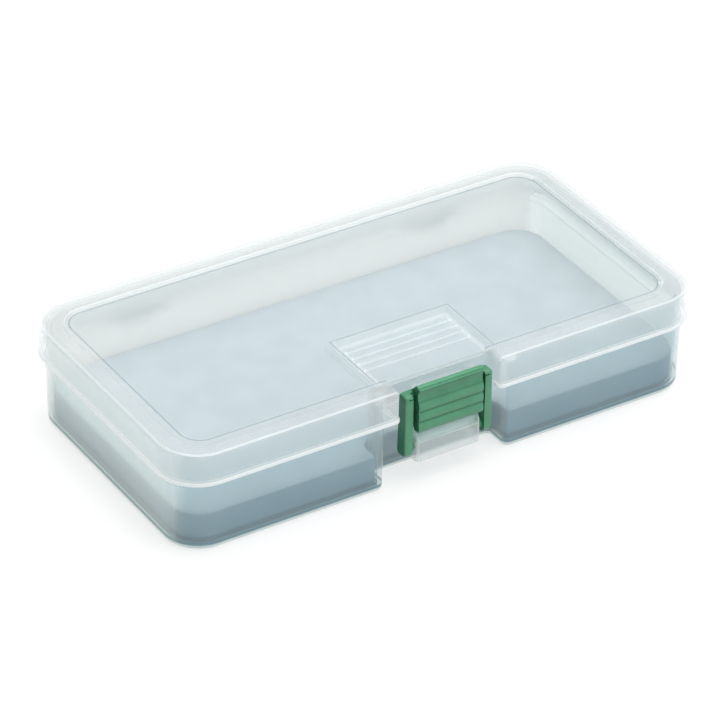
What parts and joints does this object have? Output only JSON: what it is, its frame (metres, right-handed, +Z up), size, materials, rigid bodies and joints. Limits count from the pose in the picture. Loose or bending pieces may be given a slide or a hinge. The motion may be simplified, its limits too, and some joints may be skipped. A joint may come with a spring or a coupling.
{
  "type": "pencil case",
  "caption": "Shallow oblong translucent hinged case with rounded corners, a front latch, a ribbed thumb panel in the lid and a foam liner.",
  "frame": {"origin": "middle of the underside, on the surface the case stands on", "axes": "+X along the case to the right seen from the latch side, +Y from the latch towards the hinge, +Z up"},
  "size_m": [0.1906, 0.1029, 0.036],
  "materials": {
    "base_plastic": "translucent natural polypropylene, satin moulded walls",
    "lid_plastic": "translucent natural polypropylene, clear polished window inside a frosted rim",
    "latch_plastic": "satin green moulded plastic",
    "liner_foam": "fine closed-cell foam, grey blue",
    "pin_steel": "drawn steel wire"
  },
  "bodies": {
    "base": {"base_tray": "base_plastic", "foam_pad": "liner_foam", "hinge_pin_left": "pin_steel", "hinge_pin_right": "pin_steel"},
    "lid": {"lid": "lid_plastic"},
    "latch": {"latch_clip": "latch_plastic"}
  },
  "joints": [
    {"name": "lid_hinge", "type": "hinge", "parent": "base", "child": "lid", "pos_m": [0, 0.0506, 0.0224], "axis": [-1, 0, 0], "range_deg": [0, 115]},
    {"name": "latch_hinge", "type": "hinge", "parent": "base", "child": "latch", "pos_m": [0, -0.0461, 0.0126], "axis": [1, 0, 0], "range_deg": [0, 100]}
  ]
}
